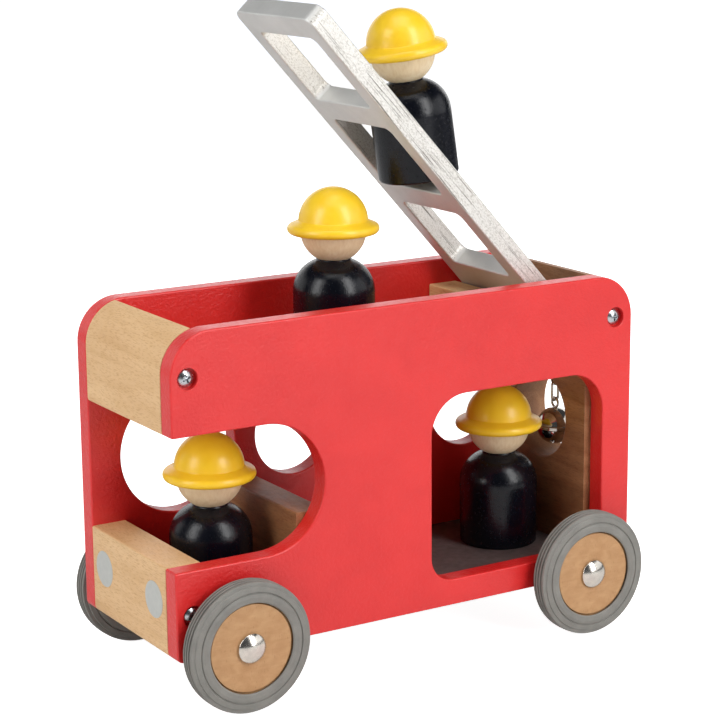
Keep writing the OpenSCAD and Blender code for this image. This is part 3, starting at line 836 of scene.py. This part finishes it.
def wheels():
    """Four wheels: a grey tyre on a recessed wooden disc."""
    profile = tyre_profile()
    names = ("front_left", "front_right", "rear_left", "rear_right")
    for index, name in enumerate(names):
        turn = math.radians(90 * index)
        tyre = lathe(profile, 160, closed=True)
        piece(name + "_rubber_tyre", tyre, wheel_axes(name + "_tyre", turn), name + "_wheel",
              RUBBER, "grey_rubber", name + "_tyre")
        low, high = span(name + "_disc")
        disc_r = (high.z - low.z) / 2
        thick = high.x - low.x
        bore = AXLE_R + 0.08
        face_r = disc_r - 1.4
        ditch = 1.2
        foot_r = face_r + 0.3
        inner_side = [(bore, 0, 0.3), (face_r, 0, 0.2), (foot_r, ditch, 0.1), (disc_r, ditch, 0)]
        outer_side = [(r, thick - z, ease) for r, z, ease in reversed(inner_side)]
        section = rounded(inner_side + outer_side)
        disc = lathe([tuple(p) for p in section], 128, closed=True)
        piece(name + "_wooden_disc", disc, wheel_axes(name + "_disc", turn), name + "_wheel",
              DISC_WOOD, "wheel_wood", name + "_disc")


def axle_fittings():
    """Domed nickel caps on the axles' ends, and grey spacers between panels and wheels."""
    cap_end = span("axle_caps")[1].x
    axle_end = span("front_axle")[1].x
    cap_r = 6.4
    cap_h = 3.2
    rim_h = 0.8
    cap_foot = cap_end - cap_h
    socket = axle_end - cap_foot
    ball_r = (cap_r ** 2 + (cap_h - rim_h) ** 2) / (2 * (cap_h - rim_h))
    swing = math.degrees(math.asin(cap_r / ball_r))
    dome = arc((0, cap_h - ball_r), ball_r, 90 - swing, 90)
    rim = [(AXLE_R, 0), (cap_r - 0.35, 0), (cap_r, 0.3), (cap_r, 0.62), (cap_r - 0.12, rim_h)]
    inside = [(AXLE_R, socket), (0, socket)]
    profile = list(reversed(inside)) + rim + [tuple(p) for p in dome[1:]]
    profile[-1] = (0, cap_h)
    caps = bmesh.new()
    spacers = bmesh.new()
    cap = lathe(profile, 96)
    disc_low = span("front_left_disc")[0].x
    gap = 0.1
    length = disc_low - OUTER - gap
    tube_r = 6.0
    tube = rounded([(AXLE_R, 0, 0), (tube_r, 0, 0.4), (tube_r, length, 0.4), (AXLE_R, length, 0)])
    spacer = lathe([tuple(p) for p in tube], 64, closed=True)
    for y, z in AXLE_SPOTS:
        for side in (-1, 1):
            add_copy(caps, cap, axes(side * Y, Z, side * X, (side * cap_foot, y, z)))
            add_copy(spacers, spacer, axes(side * Y, Z, side * X, (side * OUTER, y, z)))
    cap.free()
    spacer.free()
    piece("domed_axle_caps", caps, Matrix(), "root", CAP_NICKEL, "nickel_cap", "axle_caps")
    piece("round_wheel_spacers", spacers, Matrix(), "root", SPACER_PLASTIC, "grey_plastic",
          "wheel_spacers")


# ---------- ladder ----------

def ladder():
    """One silver board with three openings and a round foot about its pivot pin."""
    up = Vector((0, -math.cos(LADDER_ANGLE), math.sin(LADDER_ANGLE)))
    underside = X.cross(up)
    foot_r = LADDER_T / 2
    origin = joint_place("ladder_tilt") - underside * foot_r
    corner_r = 0.9
    opening_r = 3
    outline = rounded([(-LADDER_HALF_W, -foot_r, corner_r), (LADDER_HALF_W, -foot_r, corner_r),
                       (LADDER_HALF_W, LADDER_L, LADDER_TOP_R),
                       (-LADDER_HALF_W, LADDER_L, LADDER_TOP_R)])
    inner = LADDER_HALF_W - RAIL_W
    starts = [OPENING_START + index * (OPENING_L + RUNG_W) for index in range(3)]
    openings = [rounded_hole(-inner, inner, start, start + OPENING_L, opening_r, opening_r)
                for start in starts]
    edge_ease = 0.8
    shape = plate(outline, 0, LADDER_T, edge_ease, openings)
    rows = [-foot_r * math.sin(math.radians(a)) for a in range(0, 90, 10)]
    for row in rows:
        everything = shape.verts[:] + shape.edges[:] + shape.faces[:]
        bmesh.ops.bisect_plane(shape, geom=everything, plane_co=(0, row * MM, 0),
                               plane_no=(0, 1, 0))
    for vertex in shape.verts:
        below = -vertex.co.y / (foot_r * MM)
        if below > 0:
            squeeze = math.sqrt(max(0, 1 - below ** 2))
            vertex.co.z = foot_r * MM + (vertex.co.z - foot_r * MM) * squeeze
    bmesh.ops.remove_doubles(shape, verts=shape.verts, dist=0.02 * MM)
    bore_r = PIN_R + 0.08
    reach = LADDER_HALF_W + 1
    bore = lathe([(0, -reach), (bore_r, -reach), (bore_r, reach), (0, reach)], 48)
    bore.transform(axes(Y, Z, X, (0, 0, foot_r)))
    shape = carve(shape, bore)
    piece("silver_ladder", shape, axes(X, up, underside, origin), "ladder", SILVER, "silver_paint",
          "ladder")


# ---------- bell ----------

def bell_half(upper):
    """Half of the bell's shell with a rolled rim, its own Z towards the pole."""
    rim_out = 0.5
    rim_h = 0.7
    inner_r = BELL_R - BELL_WALL
    outside = arc((0, 0), BELL_R, 90, 7)
    bead = rounded([(*outside[-1], 0), (BELL_R + rim_out, rim_h, 0.25), (BELL_R + rim_out, 0, 0.15),
                    (inner_r, 0, 0)], False)
    inside = arc((0, 0), inner_r, 0, 90)
    profile = [tuple(p) for p in outside[:-1] + bead + inside[1:]]
    profile[0] = (0, BELL_R)
    profile[-1] = (0, inner_r)
    shape = lathe(profile, 96)
    if not upper:
        shape = slotted(shape)
    return shape


def slotted(shape):
    """Cuts the cross slot with a round hole at the end of each arm."""
    reach = 5.6
    half_w = 0.5
    drill_r = 1.2
    below, beyond = 2, BELL_R + 1    # heights between which both cutters pass the shell
    for index in range(2):
        turn = Matrix.Rotation(math.radians(45 + 90 * index), 4, "Z")
        corners = [(u, v, 0.2) for u, v in ((-reach, -half_w), (reach, -half_w), (reach, half_w),
                                            (-reach, half_w))]
        bar = plate(rounded(corners), below, beyond, 0.1)
        bar.transform(turn)
        shape = carve(shape, bar)
        for end in (-1, 1):
            drill = lathe([(0, below), (drill_r, below), (drill_r, beyond), (0, beyond)], 32)
            drill.transform(turn @ Matrix.Translation((end * reach * MM, 0, 0)))
            shape = carve(shape, drill)
    return shape


def circle_path(centre, radius, first, second, count=40):
    """Points round a circle in the plane of two directions."""
    turns = [math.tau * k / count for k in range(count)]
    return [centre + radius * (first * math.cos(a) + second * math.sin(a)) for a in turns]


def bell():
    """Two nickel half shells on a wire link that hangs from an eye in the rear board."""
    seam = Matrix.Translation(BELL_CENTRE * MM)
    upper = bell_half(True)
    loop_r = 2.2
    loop_wire = 0.6
    loop_z = span("bell_upper_half")[1].z - loop_r - loop_wire
    loop_centre = Vector((0, 0, loop_z - BELL_CENTRE.z))
    loop = wire(circle_path(loop_centre, loop_r, X, Z), loop_wire, Y)
    add_copy(upper, loop, Matrix())
    loop.free()
    piece("bell_top_shell", upper, seam, "bell", BELL_NICKEL, "bell_nickel", "bell_upper_half")
    flip = Matrix.Rotation(math.pi, 4, "X")
    piece("bell_slotted_shell", bell_half(False), seam @ flip, "bell", BELL_NICKEL, "bell_nickel",
          "bell_lower_half")
    low, high = span("bell_link")
    link_wire = 0.6
    link_r = (high.y - low.y) / 2 - link_wire
    path = []
    for centre_z, start in ((high.z - link_wire - link_r, 0), (low.z + link_wire + link_r, 180)):
        for step in range(0, 181, 12):
            angle = math.radians(start + step)
            path.append(Vector((0, BELL_CENTRE.y + link_r * math.cos(angle),
                                centre_z + link_r * math.sin(angle))))
    piece("bell_wire_link", wire(path, link_wire, X), Matrix(), "bell_link", BELL_NICKEL,
          "bell_nickel", "bell_link")
    low, high = span("bell_screw_eye")
    eye_wire = 0.7
    eye_r = (high.x - low.x) / 2 - eye_wire
    centre = Vector((0, BELL_CENTRE.y, low.z + eye_wire + eye_r))
    eye = wire(circle_path(centre, eye_r, X, Z), eye_wire, Y)
    stem_low = centre.z + eye_r
    stem = lathe([(0, stem_low), (eye_wire, stem_low), (eye_wire, high.z - 1.5), (0, high.z)], 24)
    add_copy(eye, stem, Matrix.Translation((0, BELL_CENTRE.y * MM, 0)))
    stem.free()
    piece("bell_hanging_eye", eye, Matrix(), "root", BELL_NICKEL, "bell_nickel", "bell_screw_eye")


# ---------- firemen ----------

def peg_profile():
    """Turned body from its base centre up to the hollow that seats the head."""
    shoulder_z = PEG_H - SHOULDER_R
    flat_r = PEG_R - SHOULDER_R
    corners = [(0, 0, 0), (PEG_R - 0.1, 0, 1.1), (PEG_R, shoulder_z - 1, 0)]
    side = rounded(corners, False)
    shoulder = [p for p in arc((flat_r, shoulder_z), SHOULDER_R, 0, 90)
                if (p - Vector((0, HEAD_BALL_Z))).length > HEAD_BALL_R + 0.05]
    rim_angle = math.degrees(math.atan2(shoulder[-1].y - HEAD_BALL_Z, shoulder[-1].x))
    pin_angle = -math.degrees(math.acos(NECK_PIN_R / HEAD_BALL_R))
    seat = arc((0, HEAD_BALL_Z), HEAD_BALL_R, rim_angle, pin_angle)
    pin_low = PIN_MIDDLE - NECK_PIN_L / 2
    return [tuple(p) for p in side + shoulder + seat] + [(NECK_PIN_R, pin_low), (0, pin_low)]


def head_profile():
    """Wooden ball with the neck pin's blind hole in its underside."""
    pin_angle = -math.degrees(math.acos(NECK_PIN_R / HEAD_BALL_R))
    ball = arc((0, HEAD_BALL_Z), HEAD_BALL_R, 90, pin_angle)
    pin_top = PIN_MIDDLE + NECK_PIN_L / 2
    profile = [tuple(p) for p in ball] + [(NECK_PIN_R, pin_top), (0, pin_top)]
    profile[0] = (0, HEAD_BALL_Z + HEAD_BALL_R)
    return profile


def helmet_profile():
    """Turned helmet: round dome on a thick brim that slopes down to a round edge."""
    hollow_r = HEAD_BALL_R + 0.05
    tip = (BRIM_R - BRIM_EDGE_R, BRIM_LOW + BRIM_EDGE_R)
    hollow = arc((0, HEAD_BALL_Z), hollow_r, 90, 0)
    mouth = [(hollow_r, BRIM_LOW + 0.3), (hollow_r + 0.3, BRIM_LOW)]
    edge = arc(tip, BRIM_EDGE_R, -90, 90 - BRIM_SLOPE)
    rise = (edge[-1].x - DOME_R) * math.tan(math.radians(BRIM_SLOPE))
    dome = arc((0, DOME_Z), DOME_R, 9, 90)
    crease = rounded([(*edge[-1], 0), (DOME_R, edge[-1].y + rise, 0.7), (*dome[0], 0)], False)
    profile = [tuple(p) for p in hollow] + mouth + [tuple(p) for p in edge + crease[1:] + dome[1:]]
    profile[0] = (0, HEAD_BALL_Z + hollow_r)
    profile[-1] = (0, DOME_Z + DOME_R)
    return profile


def firemen():
    """Four peg firemen, each a painted body, a bare wooden head and a yellow helmet."""
    turns = {"cab": 0, "deck": 70, "rear": 150, "ladder": 220}   # each shows other grain
    for who, degrees in turns.items():
        lean = RIDER_LEAN if who == "ladder" else 0
        name = who + "_fireman"
        tilt = Matrix.Rotation(lean, 4, "X")
        base = middle(name + "_neck_pin") - (tilt @ Z) * PIN_MIDDLE
        facing = Matrix.Rotation(math.radians(degrees), 4, "Z")
        place = Matrix.Translation(base * MM) @ tilt @ facing
        piece(name + "_painted_coat", lathe(peg_profile(), 128), place, name, COAT_PAINT,
              "blue_black_paint", name + "_body")
        piece(name + "_wooden_head", lathe(head_profile(), 128), place, name, HEAD_WOOD,
              "head_wood", name + "_head")
        piece(name + "_yellow_helmet", lathe(helmet_profile(), 144), place, name, HELMET_PAINT,
              "yellow_paint", name + "_helmet")


def carried_nodes():
    """Finishes for the CAD nodes that are shown as they are."""
    finishes = {
        "board_dowels": DOWEL_WOOD, "stop_block_dowels": UPRIGHT_DOWEL_WOOD, "front_axle": ZINC,
        "rear_axle": ZINC, "ladder_pivot_pin": ZINC, "bell_pellet": ZINC,
    }
    for who in ("cab", "deck", "rear", "ladder"):
        finishes[who + "_fireman_neck_pin"] = UPRIGHT_DOWEL_WOOD
    for name, finish in finishes.items():
        mesh = frame["nodes"][name].data
        mesh.materials.clear()
        mesh.materials.append(finish)


# ---------- studio ----------

def towards(azimuth, elevation):
    """Direction from the toy, in degrees; azimuth 0 is in front of it and 90 at its left."""
    around, above = math.radians(azimuth), math.radians(elevation)
    level = math.cos(above)
    return Vector((math.sin(around) * level, -math.cos(around) * level, math.sin(above)))


def camera():
    """Camera at the left front, a little above the toy."""
    place = (795.13, -490.89, 340.7)
    back = towards(58.286, 12.965)
    roll = math.radians(-0.466)
    level = (-back).cross(Z).normalized()
    upright = level.cross(-back)
    right = math.cos(roll) * level + math.sin(roll) * upright
    up = math.cos(roll) * upright - math.sin(roll) * level
    lens = bpy.data.cameras.new("camera")
    lens.lens = 109.204
    lens.sensor_width = 36
    lens.clip_start = 0.01
    lens.clip_end = 100
    item = bpy.data.objects.new("camera", lens)
    item.matrix_world = axes(right, up, back, place)
    bpy.context.scene.collection.objects.link(item)
    bpy.context.scene.camera = item


def softbox(name, azimuth, elevation, distance, width, height, power):
    """Rectangular area light aimed at the toy, in metres and watts."""
    target = Vector((0, 0, 0.12))
    away = towards(azimuth, elevation)
    light = bpy.data.lights.new(name, "AREA")
    light.shape = "RECTANGLE"
    light.size = width
    light.size_y = height
    light.energy = power
    item = bpy.data.objects.new(name, light)
    item.location = target + away * distance
    item.rotation_euler = away.to_track_quat("Z", "Y").to_euler()
    item.visible_camera = False
    bpy.context.scene.collection.objects.link(item)


def studio():
    """White room: a pale floor, a soft world, softboxes and lit walls behind the toy."""
    bpy.context.scene.view_settings.view_transform = "Standard"
    white_room()
    # azimuth, elevation, distance, width, height and power
    softbox("front_softbox", 7, 25, 1.3, 0.5, 1.1, 9)
    softbox("side_softbox", 107, 29, 1.2, 0.42, 1.15, 10.5)
    softbox("top_softbox", 60, 80, 1.2, 0.8, 0.8, 4.5)
    softbox("rear_panel", 148, 20, 1.5, 1.4, 0.9, 4.5)
    softbox("backdrop", 238, 14, 1.6, 2.2, 0.8, 7.5)
    softbox("left_wall", 300, 14, 1.6, 1.4, 0.8, 3)
    pale_floor()


def white_room():
    """World that lights the toy weakly and shows white behind it."""
    strength_as_light = 0.07
    strength_seen = 1.2
    world = bpy.data.worlds.new("white_room")
    bpy.context.scene.world = world
    world.use_nodes = True
    tree = world.node_tree
    background = tree.nodes["Background"]
    background.inputs["Color"].default_value = (0.9, 0.93, 1, 1)
    rays = tree.nodes.new("ShaderNodeLightPath")
    seen = tree.nodes.new("ShaderNodeMapRange")
    seen.inputs["To Min"].default_value = strength_as_light
    seen.inputs["To Max"].default_value = strength_seen
    tree.links.new(rays.outputs["Is Camera Ray"], seen.inputs["Value"])
    tree.links.new(seen.outputs["Result"], background.inputs["Strength"])


def pale_floor():
    """White floor with a faint shadow; the camera sees it glow more further from the toy."""
    reach = 2.5
    gap = 0.0002
    mesh = bmesh.new()
    bmesh.ops.create_grid(mesh, x_segments=8, y_segments=8, size=reach)
    data = bpy.data.meshes.new("studio_floor")
    mesh.to_mesh(data)
    mesh.free()
    finish = Finish("pale_floor", Specular_IOR_Level=0.1)
    dull, bright = (0.86, 0.86, 0.86, 1), (0.88, 0.88, 0.88, 1)
    tone = finish.ramp(finish.noise(90, 2), (0.3, dull), (0.7, bright))
    away = finish.node("ShaderNodeVectorMath", {0: finish.place}, operation="LENGTH")
    far_glow = finish.between(away.outputs["Value"], 300, 1200, 0.9, 1.0)
    rays = finish.node("ShaderNodeLightPath").outputs["Is Camera Ray"]
    finish.shader.inputs["Emission Color"].default_value = (1, 1, 1, 1)
    finish.fill(finish.shader.inputs["Emission Strength"], finish.between(rays, 0, 1, 0, far_glow))
    data.materials.append(finish.done(tone, 0.9))
    floor = bpy.data.objects.new("studio_floor", data)
    floor.location.z = -gap
    bpy.context.scene.collection.objects.link(floor)


camera()
studio()
side_panels()
front_blocks()
inner_boards()
rear_board()
screws()
wheels()
axle_fittings()
ladder()
bell()
firemen()
carried_nodes()

bpy.context.view_layer.update()
